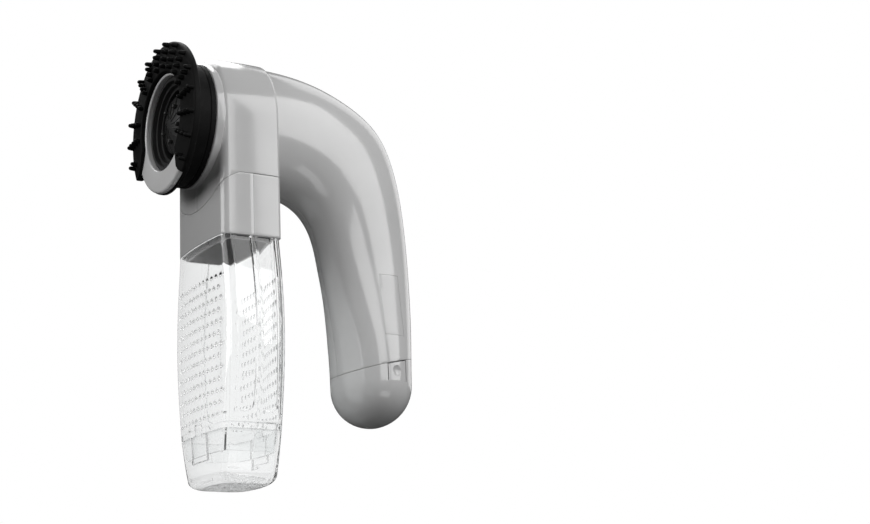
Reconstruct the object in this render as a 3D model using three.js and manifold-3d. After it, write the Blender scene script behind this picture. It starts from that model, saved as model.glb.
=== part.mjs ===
// Hand-held cordless pet-hair vacuum: a rubber grooming nozzle on a head, a clear hair bin under it,
// and a hooked handle that holds the batteries.  Millimetres, +Z up, -Y is the nozzle side.
// The origin is the centre of the bin cap's flat foot, on the plane of symmetry.
import * as THREE from "three";
import { mergeVertices } from "three/addons/utils/BufferGeometryUtils.js";
import Module from "manifold-3d";

const wasm = await Module();
wasm.setup();

// ---------------------------------------------------------------- driving dimensions
const gap = 0.3; // clearance between neighbouring pieces
const wall = 2.4; // housing wall
const clearWall = 1.9; // bin wall

const capSeam = 26; // height of the seam between the end cap and the bin
const binTop = 126; // height of the seam between the bin and the neck
const neckTop = 159.5; // height of the seam between the neck and the head
const nozzleZ = 192; // height of the nozzle axis, which runs along Y
const headTop = 230.5;

const bodyHalfX = 31; // half width of the neck and head
const bodyHalfY = 16.7; // half depth at the corners
const bodyMidY = -0.5; // middle of that depth
const crown = 1.6; // how far the front and back faces stand out in their middle
const binBulge = 7.2; // how far each side of the bin bows out half way up
const footHalfX = 18;
const footHalfY = 13.1;

const rimRadius = 34; // grey rim round the collar
const collarRadius = 33.3;
const ringRadius = 37.6; // hard nozzle ring
const mouthRadius = 25.6;
const throatRadius = 19;
const flangeRadius = 43.4;
const spigotRadius = 26.2;
const ringFrontY = -37.5;
const rimFrontY = -21.5;
const dipRadius = 47; // the front of the neck seam runs round the nozzle at this radius
const cutTurn = THREE.MathUtils.degToRad(-12.5); // the flange's cut-out is turned a little to -X

const impellerRadius = 23.5;
const eyeRadius = 16;
const motorRadius = 13.8;
const motorY = [3.8, 36];
const plateY = [1.2, 3.2]; // bulkhead behind the impeller

const cellRadius = 7.1;
const cellLength = 50;
const cellX = 7.7; // two columns of two cells
const cellY = 87;
const cellZ = 50.5; // bottom of the lower pair

const seamZ = 66.9; // battery cap seam, on the handle's middle line
const seamSlope = 0.237; // the seam rises to the back
const handleMidY = 83.2;
const capBottom = 35;
const latchY = 86; // middle of each battery latch
const latchHalf = 5.6;
const latchRootZ = 57;

const tabHalfX = 9; // bin cap latch
const tabRootZ = 12;
const fingerHalfX = 4.2;
const fingerTop = 31;

const switchAt = { y: 94.4, z: 191.6 }; // point on the back of the bend, under the switch
const switchTilt = -64; // degrees, from level
const switchTravel = 6;
const jackY = 67.5;
const jackZ = 76.2;
const jackRadius = 3.1;

// ---------------------------------------------------------------- materials
const plastic = (color, roughness) => new THREE.MeshStandardMaterial({ color, roughness, metalness: 0 });
const metal = (color, roughness) => new THREE.MeshStandardMaterial({ color, roughness, metalness: 1 });
const shellGrey = () => plastic(0xb4b4b4, 0.22);
const rubberBlack = () => plastic(0x0c0c0c, 0.6);
const innerBlack = () => plastic(0x1a1a1a, 0.5);
const steel = () => metal(0xb8b8b8, 0.35);
const clearPlastic = () => {
  const material = plastic(0xf4f6f6, 0.06);
  material.transparent = true;
  material.opacity = 0.3;
  return material;
};

// ---------------------------------------------------------------- solids
function solid(geometry) {
  const bare = geometry.clone();
  bare.deleteAttribute("normal");
  bare.deleteAttribute("uv");
  const merged = mergeVertices(bare, 1e-4);
  return new wasm.Manifold(
    new wasm.Mesh({
      numProp: 3,
      vertProperties: new Float32Array(merged.attributes.position.array),
      triVerts: new Uint32Array(merged.index.array),
    }),
  );
}

const join = (...solids) => solids.reduce((all, one) => all.add(one));

function box([x0, x1], [y0, y1], [z0, z1]) {
  const block = new THREE.BoxGeometry(x1 - x0, y1 - y0, z1 - z0);
  return solid(block.translate((x0 + x1) / 2, (y0 + y1) / 2, (z0 + z1) / 2));
}

// A closed surface through rings of points that all have the same number of points.
function loft(rings) {
  const count = rings[0].length;
  const points = rings.flat();
  const faces = [];
  for (let k = 0; k + 1 < rings.length; k++) {
    for (let i = 0; i < count; i++) {
      const a = k * count + i;
      const b = k * count + ((i + 1) % count);
      faces.push(a, b, b + count, a, b + count, a + count);
    }
  }
  const closeEnd = (start, flip) => {
    const ring = points.slice(start, start + count);
    const middle = ring.reduce((sum, p) => sum.add(p), new THREE.Vector3()).divideScalar(count);
    points.push(middle);
    for (let i = 0; i < count; i++) {
      const edge = [start + i, start + ((i + 1) % count)];
      faces.push(points.length - 1, ...(flip ? edge.reverse() : edge));
    }
  };
  closeEnd(0, true);
  closeEnd((rings.length - 1) * count, false);
  const volume = faces.reduce((sum, _, i) => {
    if (i % 3) return sum;
    const [a, b, c] = [points[faces[i]], points[faces[i + 1]], points[faces[i + 2]]];
    return sum + a.dot(b.clone().cross(c));
  }, 0);
  if (volume < 0) faces.reverse();
  const geometry = new THREE.BufferGeometry().setFromPoints(points);
  return solid(geometry.setIndex(faces));
}

// Rounded rectangle at height z whose front and back edges bow out by `bow`.
function roundedRing({ halfX, halfY, corner, bow = 0, z, y = 0 }, arcSteps = 3, edgeSteps = 4) {
  const ring = [];
  const flatX = halfX - corner;
  const flatY = halfY - corner;
  const arc = (cx, cy, from) => {
    for (let i = 1; i <= arcSteps; i++) {
      const turn = from + (i / arcSteps) * (Math.PI / 2);
      ring.push(new THREE.Vector3(cx + corner * Math.cos(turn), y + cy + corner * Math.sin(turn), z));
    }
  };
  for (const side of [-1, 1]) {
    for (let i = 0; i <= edgeSteps; i++) {
      const x = side * flatX * ((2 * i) / edgeSteps - 1) * -1;
      const bowed = halfY + bow * (1 - (x / flatX) ** 2);
      ring.push(new THREE.Vector3(x, y + side * bowed, z));
    }
    const start = side < 0 ? -Math.PI / 2 : Math.PI / 2;
    arc(-side * flatX, side * flatY, start);
    ring.push(new THREE.Vector3(-side * halfX, y - side * flatY, z));
    arc(-side * flatX, -side * flatY, start + Math.PI / 2);
    ring.pop();
  }
  return ring;
}

// A body of revolution round the nozzle axis from [radius, y] pairs.
function turned(profile, segments = 36) {
  const points = profile.map(([r, y]) => new THREE.Vector2(r, y));
  return solid(new THREE.LatheGeometry(points, segments).translate(0, 0, nozzleZ));
}

function cylinder(radius, [from, to], axis, [u, v], segments = 20) {
  const rod = new THREE.CylinderGeometry(radius, radius, to - from, segments);
  rod.translate(0, (from + to) / 2, 0);
  if (axis === "z") return solid(rod.rotateX(Math.PI / 2).translate(u, v, 0));
  if (axis === "x") return solid(rod.rotateZ(-Math.PI / 2).translate(0, u, v));
  return solid(rod.translate(u, 0, v));
}

const part = new THREE.Group();

function add(name, body, material) {
  const { vertProperties, triVerts } = body.getMesh();
  const geometry = new THREE.BufferGeometry();
  geometry.setAttribute("position", new THREE.BufferAttribute(vertProperties, 3));
  geometry.setIndex(new THREE.BufferAttribute(triVerts, 1));
  geometry.computeVertexNormals();
  const mesh = new THREE.Mesh(geometry, material);
  mesh.name = name;
  part.add(mesh);
}

const everywhere = [-300, 300];
const leftHalf = box([-300, -gap / 2], everywhere, everywhere);
const rightHalf = box([gap / 2, 300], everywhere, everywhere);
const frontHalf = box(everywhere, [-300, -gap / 2], everywhere);
const rearHalf = box(everywhere, [gap / 2, 300], everywhere);

// ---------------------------------------------------------------- head and handle
// Straight column with the neck's rounded section, shrunk by `inset`.
function column(inset, z0, z1) {
  const section = {
    halfX: bodyHalfX - inset,
    halfY: bodyHalfY - inset,
    corner: Math.max(5 - inset, 1.5),
    bow: crown,
    y: bodyMidY,
  };
  return loft([z0, z1].map((z) => roundedRing({ ...section, z })));
}

// Arched block along Y: upright sides up to the nozzle's height, then an elliptical top.
function archedBlock(inset, y0, y1, bottom) {
  const steps = 18;
  const ringAt = (y) => {
    const halfX = bodyHalfX - inset - (y < 0 ? 0.9 : 0);
    const rise = headTop - nozzleZ - inset;
    const ring = [new THREE.Vector3(-halfX, y, bottom), new THREE.Vector3(halfX, y, bottom)];
    for (let i = 0; i <= steps; i++) {
      const turn = (i / steps) * Math.PI;
      ring.push(new THREE.Vector3(halfX * Math.cos(turn), y, nozzleZ + rise * Math.sin(turn)));
    }
    return ring;
  };
  return loft([ringAt(y0), ringAt(y1)]);
}

// The region above the neck seam: level at the sides and back, an arc round the nozzle in front.
function aboveSeam(lift) {
  const dip = dipRadius - lift;
  const level = box([-60, 60], [-60, 160], [neckTop + lift, 300]);
  return level.add(turned([[0, -60], [dip, -60], [dip, -16], [dip - 0.7, -12.2], [dip - 2.1, -8.5], [dip - 12, -4], [0, -4]], 48));
}

// Handle sections: the outer and the inner point of the hook in the YZ plane, and the half width.
const handleSections = [
  { outer: [8, 228.6], inner: [8, 160.6], halfX: 26.5 },
  { outer: [18, 228.6], inner: [18, 160.2], halfX: 26.3 },
  { outer: [44, 225.6], inner: [33, 157.2], halfX: 24.6 },
  { outer: [69, 216.8], inner: [43, 151.2], halfX: 22.6 },
  { outer: [89, 202.5], inner: [49, 142.5], halfX: 20.8 },
  { outer: [99.8, 180], inner: [52.4, 132], halfX: 19.4 },
  { outer: [104.6, 154], inner: [54.4, 121], halfX: 18.6 },
  { outer: [106.3, 130], inner: [56.4, 111], halfX: 18.8 },
  { outer: [106.4, 108], inner: [58.6, 99], halfX: 20.6 },
  { outer: [105.3, 86], inner: [61, 82], halfX: 23.6 },
  { outer: [104, 68], inner: [62.5, 66], halfX: 25 },
  { outer: [103.6, 57], inner: [62.8, 57], halfX: 25.1 },
];

function handle(inset, from, to, steps = 16, sides = 24) {
  const line = (key) => {
    const points = handleSections.map((s) => new THREE.Vector3(0, ...s[key]));
    return new THREE.CatmullRomCurve3(points, false, "centripetal");
  };
  const outerLine = line("outer");
  const innerLine = line("inner");
  const widths = handleSections.map((s) => new THREE.Vector3(s.halfX, 0, 0));
  const widthLine = new THREE.CatmullRomCurve3(widths, false, "catmullrom");
  const rings = [];
  for (let k = 0; k <= steps; k++) {
    const t = from + ((to - from) * k) / steps;
    const outer = outerLine.getPoint(t);
    const inner = innerLine.getPoint(t);
    const middle = outer.clone().add(inner).multiplyScalar(0.5);
    const across = outer.clone().sub(inner).multiplyScalar(0.5);
    across.setLength(across.length() - inset);
    const halfX = widthLine.getPoint(t).x - inset;
    rings.push(ellipse(middle, new THREE.Vector3(halfX, 0, 0), across, sides));
  }
  return rings;
}

function ellipse(middle, side, across, sides) {
  const ring = [];
  for (let i = 0; i < sides; i++) {
    const turn = (i / sides) * 2 * Math.PI;
    const point = middle.clone().addScaledVector(side, Math.cos(turn));
    ring.push(point.addScaledVector(across, Math.sin(turn)));
  }
  return ring;
}

// Everything above the battery cap's sloping seam, moved along Z by `lift`.
function aboveCapSeam(lift) {
  const half = 60;
  const at = (y, z) => [-half, half].map((x) => new THREE.Vector3(x, y, z));
  const level = (y) => seamZ + seamSlope * (y - handleMidY) + lift;
  const lower = [...at(-60, level(-60)), ...at(140, level(140)).reverse()];
  const upper = lower.map((p) => new THREE.Vector3(p.x, p.y, 320));
  return loft([lower, upper]);
}

const handleOuter = loft(handle(0, 0, 1));
const handleInner = loft(handle(wall, 0.02, 1));
const rimBackY = -16.5; // just behind the front face of the block
const headRim = turned([[0, rimFrontY], [rimRadius - 0.8, rimFrontY], [rimRadius, rimFrontY + 1], [rimRadius, rimBackY], [0, rimBackY + 8]], 48);
const headBlock = column(0, 130, 240).intersect(archedBlock(0, -25, 25, 130));
const headHollow = column(wall, 120, 240).intersect(archedBlock(wall, -25, 25, 120));
const bore = turned([[0, -40], [spigotRadius + gap, -40], [spigotRadius + gap, -8], [0, -8]]);
const jackHole = cylinder(jackRadius, [-40, -9], "x", [jackY, jackZ]);

// The switch lies on the back of the bend, in a shallow flat seat.
const onBend = (body) => body.rotate([switchTilt, 0, 0]).translate([0, switchAt.y, switchAt.z]);
const switchSlot = onBend(box([-3.1, 3.1], [-6.6, 6.6], [-12, 12]));
const switchSeat = onBend(box([-6.1, 6.1], [-11.5, 11.5], [-1, 12]));

// Blank label in a shallow recess low on the +X side of the handle.
const labelWindow = (slack) => box([5, 60], [80 - slack, 92 + slack], [82 - slack, 116 + slack]);
const labelSeat = labelWindow(gap).subtract(loft(handle(1.1, 0, 1)));
const labelPlate = labelWindow(0).intersect(loft(handle(0.15, 0, 1))).subtract(loft(handle(0.8, 0, 1)));

const headShape = headBlock.add(headRim).intersect(aboveSeam(gap / 2));
const handleShape = handleOuter.intersect(aboveCapSeam(gap / 2));
const housing = headShape
  .add(handleShape)
  .subtract(headHollow)
  .subtract(handleInner)
  .subtract(bore)
  .subtract(jackHole)
  .subtract(labelSeat)
  .subtract(switchSeat)
  .subtract(switchSlot);
add("housing_left", housing.intersect(leftHalf), shellGrey());
add("housing_right", housing.intersect(rightHalf), shellGrey());
add("label_plate", labelPlate, plastic(0xa6a6a6, 0.45));

// ---------------------------------------------------------------- neck and its duct
const neck = column(0, binTop + gap / 2, 175)
  .subtract(aboveSeam(-gap / 2))
  .subtract(column(wall, 120, 180));
add("neck_front", neck.intersect(frontHalf), shellGrey());
add("neck_rear", neck.intersect(rearHalf), shellGrey());

function ductColumn(inset, [z0, z1]) {
  const size = { halfX: bodyHalfX - 5 - inset, halfY: bodyHalfY - 3.6 - inset, corner: 4.5 - inset, bow: 1 };
  return loft([z0, z1].map((z) => roundedRing({ ...size, y: bodyMidY, z })));
}
const ductFlange = column(wall + gap, 127.2, 129.2);
const duct = ductColumn(0, [124.4, 144]).add(ductFlange).subtract(ductColumn(1.5, [100, 160]));
add("outlet_duct", duct, innerBlack());

// ---------------------------------------------------------------- nozzle
const nozzleTube = turned([
  [26.6, ringFrontY],
  [ringRadius - 1.6, ringFrontY],
  [ringRadius, ringFrontY + 1.6],
  [ringRadius, ringFrontY + 3],
  [30, ringFrontY + 3.4],
  [30, rimFrontY - gap],
  [spigotRadius, rimFrontY - gap],
  [spigotRadius, -14.8],
  [spigotRadius - 1.7, -14.8],
  [spigotRadius - 1.7, -31],
  [mouthRadius, -33.2],
  [mouthRadius, ringFrontY + 1.2],
  [26.6, ringFrontY],
]);
add("nozzle_tube", nozzleTube, plastic(0x9f9f9f, 0.3));

// Black funnel between the hard ring and the impeller.
const funnelRadius = spigotRadius - 1.7 - gap;
const nozzleFunnel = turned([
  [funnelRadius, -31.4],
  [funnelRadius, -25],
  [throatRadius + 1.6, -25],
  [throatRadius, -26.6],
  [throatRadius, -28.8],
  [funnelRadius - 1.2, -32.4],
  [funnelRadius, -31.4],
]);
add("nozzle_funnel", nozzleFunnel, innerBlack());

function groomingRubber() {
  const ringBack = ringFrontY + 3.7;
  const body = turned([
    [mouthRadius + 0.4, ringFrontY - gap],
    [mouthRadius + 1.6, ringFrontY - 2],
    [flangeRadius - 7, ringFrontY - 1.6],
    [flangeRadius - 1, ringFrontY - 0.6],
    [flangeRadius, ringFrontY + 0.4],
    [flangeRadius, ringFrontY + 2.2],
    [flangeRadius - 5, ringFrontY + 4.6],
    [collarRadius, ringFrontY + 6.4],
    [collarRadius, rimFrontY - gap],
    [30 + gap, rimFrontY - gap],
    [30 + gap, ringBack],
    [ringRadius + gap, ringBack],
    [ringRadius + gap, ringFrontY - gap],
    [mouthRadius + 0.4, ringFrontY - gap],
  ]);
  // The cut-out that bares the hard ring: its edges spread downwards.
  const outline = new THREE.Shape([
    new THREE.Vector2(-21, 2),
    new THREE.Vector2(-23.8, -17),
    new THREE.Vector2(-26.6, -26),
    new THREE.Vector2(-33, -29),
    new THREE.Vector2(-33, -50),
    new THREE.Vector2(33, -50),
    new THREE.Vector2(33, -29),
    new THREE.Vector2(26.6, -26),
    new THREE.Vector2(23.8, -17),
    new THREE.Vector2(21, 2),
  ]);
  const cutOut = (backY) => {
    const block = new THREE.ExtrudeGeometry(outline, { depth: 20, bevelEnabled: false });
    return solid(block.rotateX(Math.PI / 2).rotateY(-cutTurn).translate(0, backY, nozzleZ));
  };
  const beyondRing = turned([[ringRadius + 0.8, -70], [90, -70], [90, -20], [ringRadius + 0.8, -20], [ringRadius + 0.8, -70]]);
  const nubs = [];
  const rows = 15;
  const rowPitch = 17.4;
  for (let row = 0; row < rows; row++) {
    const turn = rowPitch * (row - (rows - 1) / 2);
    for (const radius of [30, 33.9, 37.8, 41.7]) {
      // The cut-out's edge slants, so the first and last rows have nubs only near the rim.
      if (Math.abs(turn) > 111 + (radius - 27) * 1.2) continue;
      const at = THREE.MathUtils.degToRad(turn) - cutTurn;
      const nub = new THREE.CylinderGeometry(1.3, 0.6, 4.2, 5);
      const lean = Math.max(0, radius - 37) * 0.12;
      nub.translate(radius * Math.sin(at), ringFrontY - 2.95 + lean, nozzleZ + radius * Math.cos(at));
      nubs.push(solid(nub));
    }
  }
  const opened = body.subtract(cutOut(ringFrontY + 2.9)).subtract(cutOut(ringFrontY + 7).intersect(beyondRing));
  return opened.add(join(...nubs));
}
add("grooming_rubber", groomingRubber(), rubberBlack());

// ---------------------------------------------------------------- impeller, shaft and motor
function impeller() {
  const hub = turned([[0, -34.6], [6, -33.8], [11, -32.3], [eyeRadius, -30], [eyeRadius, -27.8], [7, -26.6], [5, -4], [impellerRadius, -3.4], [impellerRadius, -1.8], [4.8, -1.8], [4.8, -0.2], [0, -0.2]]);
  const pieces = [hub];
  const bladeCount = 8;
  for (let i = 0; i < bladeCount; i++) {
    const blade = new THREE.BoxGeometry(impellerRadius - 7, 12, 1.3);
    blade.translate((impellerRadius + 3.4) / 2, -8.6, 0).rotateY(0.35);
    blade.translate(1.5, 0, 0).rotateY((i / bladeCount) * 2 * Math.PI).translate(0, 0, nozzleZ);
    pieces.push(solid(blade));
  }
  const postCount = 5;
  for (let i = 0; i < postCount; i++) {
    const turn = ((i + 0.75) / postCount) * 2 * Math.PI;
    const post = new THREE.CylinderGeometry(1.3, 0.9, 4.4, 8);
    post.translate(9.8 * Math.cos(turn), -32.8, nozzleZ + 9.8 * Math.sin(turn));
    pieces.push(solid(post));
  }
  const shaftHole = cylinder(1.1, [-26, 5], "y", [0, nozzleZ], 12);
  return join(...pieces).subtract(shaftHole);
}
add("impeller", impeller(), innerBlack());
add("motor_shaft", cylinder(1, [-24, 42], "y", [0, nozzleZ], 12), steel());

const bushClear = cylinder(2.9, [-60, 60], "y", [0, nozzleZ], 16);
function motorPlate() {
  const slab = box([-60, 60], plateY, [neckTop + 1.6, 240]);
  const inside = column(wall + gap, 130, 240).intersect(archedBlock(wall + gap, -25, 25, 130));
  const holes = [-8, 8].map((x) => cylinder(1.8, [-10, 10], "y", [x, nozzleZ], 12));
  return slab.intersect(inside).subtract(cylinder(7.3, [-10, 10], "y", [0, nozzleZ])).subtract(join(...holes));
}
add("motor_plate", motorPlate(), innerBlack());
const motorBoss = cylinder(5, [motorY[0] - 2, motorY[0] + 1], "y", [0, nozzleZ]);
const screwHoles = [-8, 8].map((x) => cylinder(1.7, [-5, motorY[0] + 5], "y", [x, nozzleZ], 12));
const motorCan = cylinder(motorRadius, [motorY[0], motorY[1] - 6], "y", [0, nozzleZ], 32)
  .add(motorBoss)
  .subtract(bushClear)
  .subtract(join(...screwHoles));
add("motor_can", motorCan, steel());
const motorEnd = cylinder(motorRadius - 0.8, [motorY[1] - 5.7, motorY[1]], "y", [0, nozzleZ], 32)
  .add(cylinder(3.5, [motorY[1] - 1, motorY[1] + 2.5], "y", [0, nozzleZ]))
  .subtract(bushClear);
add("motor_end_bell", motorEnd, innerBlack());
function bush([y0, y1]) {
  return turned([[1.1, y0], [2.6, y0], [2.6, y1], [1.1, y1], [1.1, y0]], 16);
}
add("shaft_bush_front", bush([motorY[0] - 1.8, motorY[0] + 3]), metal(0xb08d57, 0.4));
add("shaft_bush_rear", bush([motorY[1] - 4, motorY[1] + 2]), metal(0xb08d57, 0.4));
[-8, 8].forEach((x, i) => {
  const screw = cylinder(1.3, [-0.6, 8], "y", [x, nozzleZ], 12).add(cylinder(2.5, [-0.8, 0.9], "y", [x, nozzleZ], 12));
  add("motor_screw_" + (i + 1), screw, steel());
});

// ---------------------------------------------------------------- hair bin
function binColumn(inset, z0, z1, steps) {
  const rings = [];
  for (let k = 0; k <= steps; k++) {
    const z = z0 + ((z1 - z0) * k) / steps;
    const rise = THREE.MathUtils.clamp((z - capSeam) / (binTop - capSeam), 0, 1);
    const bulge = Math.sin(Math.PI * rise);
    const halfX = THREE.MathUtils.lerp(29.8, bodyHalfX - 0.4, rise) + binBulge * bulge - inset;
    const corner = 5.5 + 2.5 * bulge - inset;
    rings.push(roundedRing({ halfX, halfY: bodyHalfY - inset, corner, bow: crown, z, y: bodyMidY }));
  }
  return loft(rings);
}
const lipBottom = 15.6;
const lipZone = box(everywhere, everywhere, [lipBottom, capSeam + 3.8]);
const binLip = capColumn(clearWall + gap, clearWall).intersect(lipZone);
const binOuter = binColumn(0, capSeam + gap / 2, binTop - gap / 2, 8);
const catchNotch = box([-fingerHalfX - 0.5, fingerHalfX + 0.5], everywhere, [capSeam - 2, fingerTop + 0.8]);
const notchInside = binColumn(clearWall + 0.2, capSeam - 4, capSeam + 12, 4);
const bin = binOuter
  .add(binLip)
  .subtract(binColumn(clearWall, capSeam + 3.5, binTop + 4, 8))
  .subtract(capColumn(clearWall + gap + 1.6, 2))
  .subtract(catchNotch.subtract(notchInside));
add("bin_front", bin.intersect(frontHalf), clearPlastic());
add("bin_rear", bin.intersect(rearHalf), clearPlastic());

// ---------------------------------------------------------------- end cap of the bin
function capColumn(inset, floor) {
  const levels = [
    { z: floor, halfX: footHalfX, halfY: footHalfY },
    { z: floor + 1.6, halfX: footHalfX + 2.8, halfY: footHalfY + 2.2 },
    { z: floor + 4.5, halfX: footHalfX + 4.8, halfY: footHalfY + 3.3 },
    { z: capSeam - gap / 2, halfX: 29.7, halfY: bodyHalfY },
    { z: capSeam + 6, halfX: 29.7, halfY: bodyHalfY },
  ];
  return loft(
    levels.map(({ z, halfX, halfY }) => {
      const section = { halfX: halfX - inset, halfY: halfY - inset, corner: 5.4 - inset * 0.6 };
      const lean = 0.3 * (bodyHalfY - halfY); // the back wall stands more upright than the front
      return roundedRing({ ...section, bow: crown, z, y: bodyMidY + lean });
    }),
  );
}
const belowSeam = box(everywhere, everywhere, [-1, capSeam - gap / 2]);
const capBody = capColumn(0, 0).intersect(belowSeam).subtract(capColumn(clearWall, clearWall));
const tabWindow = (side, slack) => {
  const y = side < 0 ? [-40, -bodyHalfY + 4.2] : [bodyHalfY - 4.8, 40];
  return box([-tabHalfX - slack, tabHalfX + slack], y, [tabRootZ - slack, capSeam + 8]);
};
const capCut = join(tabWindow(-1, 0.5), tabWindow(1, 0.5));
add("bin_cap", capBody.subtract(capCut), clearPlastic());
for (const side of [-1, 1]) {
  const tongue = capBody.intersect(tabWindow(side, 0));
  const finger = binColumn(0, capSeam - 2, fingerTop, 4)
    .subtract(binColumn(clearWall, capSeam - 6, fingerTop + 4, 5))
    .intersect(box([-fingerHalfX, fingerHalfX], side < 0 ? [-40, 0] : [0, 40], [capSeam - 2.5, fingerTop]));
  add(side < 0 ? "bin_latch_front" : "bin_latch_rear", tongue.add(finger), clearPlastic());
}

// ---------------------------------------------------------------- battery cap and latches
function capRings(inset) {
  const rings = handle(inset, 0.86, 1, 4);
  const lowZ = handleSections.at(-1).outer[1];
  const depth = lowZ - capBottom - inset;
  const middle = new THREE.Vector3(0, handleMidY, lowZ);
  const domeSteps = 5;
  for (let k = 1; k < domeSteps; k++) {
    const turn = (k / domeSteps) * (Math.PI / 2);
    const scale = Math.cos(turn);
    const at = middle.clone().setZ(lowZ - depth * Math.sin(turn));
    const side = new THREE.Vector3((25.1 - inset) * scale, 0, 0);
    rings.push(ellipse(at, side, new THREE.Vector3(0, (20.4 - inset) * scale, 0), 24));
  }
  return rings;
}
const capOuter = loft(capRings(0)).subtract(aboveCapSeam(-gap / 2));
const capSpigot = loft(handle(wall + gap, 0.86, 1, 4)).subtract(aboveCapSeam(4.5));
const batteryCapBody = capOuter.add(capSpigot).subtract(loft(capRings(wall + gap + 1.6)));
const latchWindow = (side, slack) => {
  const x = side < 0 ? [-40, -14] : [14, 40];
  return box(x, [latchY - latchHalf - slack, latchY + latchHalf + slack], [latchRootZ - slack, 90]);
};
const latchCut = join(latchWindow(-1, 0.5), latchWindow(1, 0.5));
add("battery_cap", batteryCapBody.subtract(latchCut), shellGrey());
for (const side of [-1, 1]) {
  const tongue = batteryCapBody.intersect(latchWindow(side, 0)).subtract(aboveCapSeam(2.5));
  const dimple = new THREE.SphereGeometry(2.6, 10, 6).translate(side * 26.4, latchY, 63.2);
  add(side < 0 ? "battery_latch_left" : "battery_latch_right", tongue.subtract(solid(dimple)), shellGrey());
}

// ---------------------------------------------------------------- batteries and contacts
let cellNumber = 0;
for (const side of [-1, 1]) {
  for (const level of [0, 1]) {
    const base = cellZ + level * (cellLength + gap);
    const can = cylinder(cellRadius, [base, base + cellLength - 1.6], "z", [side * cellX, cellY], 24);
    const button = cylinder(2.7, [base + cellLength - 3, base + cellLength], "z", [side * cellX, cellY], 12);
    cellNumber += 1;
    add("cell_" + cellNumber, can.add(button), plastic(0x3d5a4a, 0.35));
  }
}
const contactTopZ = cellZ + 2 * cellLength + gap * 2;
add("contact_plate_upper", box([-12.5, 12.5], [cellY - 7, cellY + 6.5], [contactTopZ, contactTopZ + 1]), metal(0xc9b37a, 0.35));
add("contact_plate_lower", box([-13, 13], [cellY - 6.5, cellY + 4.5], [cellZ - 1.5, cellZ - gap]), metal(0xc9b37a, 0.35));

// ---------------------------------------------------------------- switch and charging socket
const ridges = [-3, -1, 1, 3].map((y) => box([-4.2, 4.2], [y - 0.35, y + 0.35], [0.3, 1.1]));
const knobPlate = box([-5.2, 5.2], [-5, 5], [-0.7, 0.6]);
const knobStem = box([-2.6, 2.6], [-2.2, 2.2], [-4.8, -0.4]);
const slideKnob = join(knobPlate, knobStem, ...ridges).translate([0, -switchTravel / 2, 0]);
add("switch_knob", onBend(slideKnob), innerBlack());
add("switch_body", onBend(box([-6, 6], [-10, 10], [-12.4, -5.2])), innerBlack());
const socket = cylinder(4, [-9.6, -0.6], "x", [jackY + 2.5, jackZ], 20)
  .subtract(cylinder(2.9, [-12, -2.4], "x", [jackY + 1.6, jackZ], 16));
add("charging_socket", socket, innerBlack());

// Two insulated leads, from the upper contact plate to the switch and to the motor.
function lead(points) {
  const route = new THREE.CatmullRomCurve3(points.map((p) => new THREE.Vector3(...p)), false, "centripetal");
  const section = new THREE.Shape().absarc(0, 0, 0.9, 0, 2 * Math.PI);
  return solid(new THREE.ExtrudeGeometry(section, { steps: 12, curveSegments: 3, extrudePath: route }));
}
const plateTop = contactTopZ + 1 + gap;
const leadToSwitch = [[5, 84, plateTop], [5, 84, 162], [4, 80.5, 172], [3, 80, 182.5]];
const leadToMotor = [[-6, 82, plateTop], [-7, 76, 165], [-8, 62, 180], [-7, 48, 190], [-5, 39.5, 196.5]];
add("lead_to_switch", lead(leadToSwitch), plastic(0x8c1f1f, 0.5));
add("lead_to_motor", lead(leadToMotor), innerBlack());

export default part;
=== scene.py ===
import math

import bmesh
import bpy
import numpy as np
from mathutils import Matrix, Vector


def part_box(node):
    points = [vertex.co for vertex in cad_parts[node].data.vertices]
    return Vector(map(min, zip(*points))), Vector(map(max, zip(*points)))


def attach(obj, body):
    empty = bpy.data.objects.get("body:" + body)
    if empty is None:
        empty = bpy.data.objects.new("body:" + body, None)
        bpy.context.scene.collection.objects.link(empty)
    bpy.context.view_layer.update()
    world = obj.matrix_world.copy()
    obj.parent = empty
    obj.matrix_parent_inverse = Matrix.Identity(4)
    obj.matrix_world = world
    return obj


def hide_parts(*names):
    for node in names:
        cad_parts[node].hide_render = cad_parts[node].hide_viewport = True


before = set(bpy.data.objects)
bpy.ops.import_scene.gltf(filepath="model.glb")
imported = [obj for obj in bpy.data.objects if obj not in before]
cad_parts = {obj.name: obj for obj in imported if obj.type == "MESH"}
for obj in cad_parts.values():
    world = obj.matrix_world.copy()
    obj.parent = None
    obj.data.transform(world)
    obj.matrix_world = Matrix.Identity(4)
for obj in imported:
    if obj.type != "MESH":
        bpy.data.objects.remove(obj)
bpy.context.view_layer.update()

# Hand-held pet-hair vacuum.  Shapes are in millimetres in the part's own frame: +Z up, -Y the nozzle side,
# origin in the middle of the bin cap's foot.  MM turns a length into metres where Blender is handed one.
MM = 0.001


def node_box(name):
    """The low and the high corner of a CAD node's box, in millimetres."""
    return [np.array(corner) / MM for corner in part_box(name)]


# ---------------------------------------------------------------- sizes
neck_low, neck_high = node_box("neck_rear")
tube_low, tube_high = node_box("nozzle_tube")

GAP = 0.12  # half of a hairline seam
WALL = 2.4  # grey mouldings
CLEAR_WALL = 1.9  # bin and bin cap

CAP_SEAM = round(node_box("bin_cap")[1][2] + 0.15, 1)  # height of the seam between bin and bin cap
BIN_TOP = round(neck_low[2] - 0.15, 1)
NECK_TOP = round(neck_high[2] + 0.1, 1)
HEAD_TOP = 230.5
DUCT_LIP = 124.4  # height of the outlet duct's lower edge, seen through the bin

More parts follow.
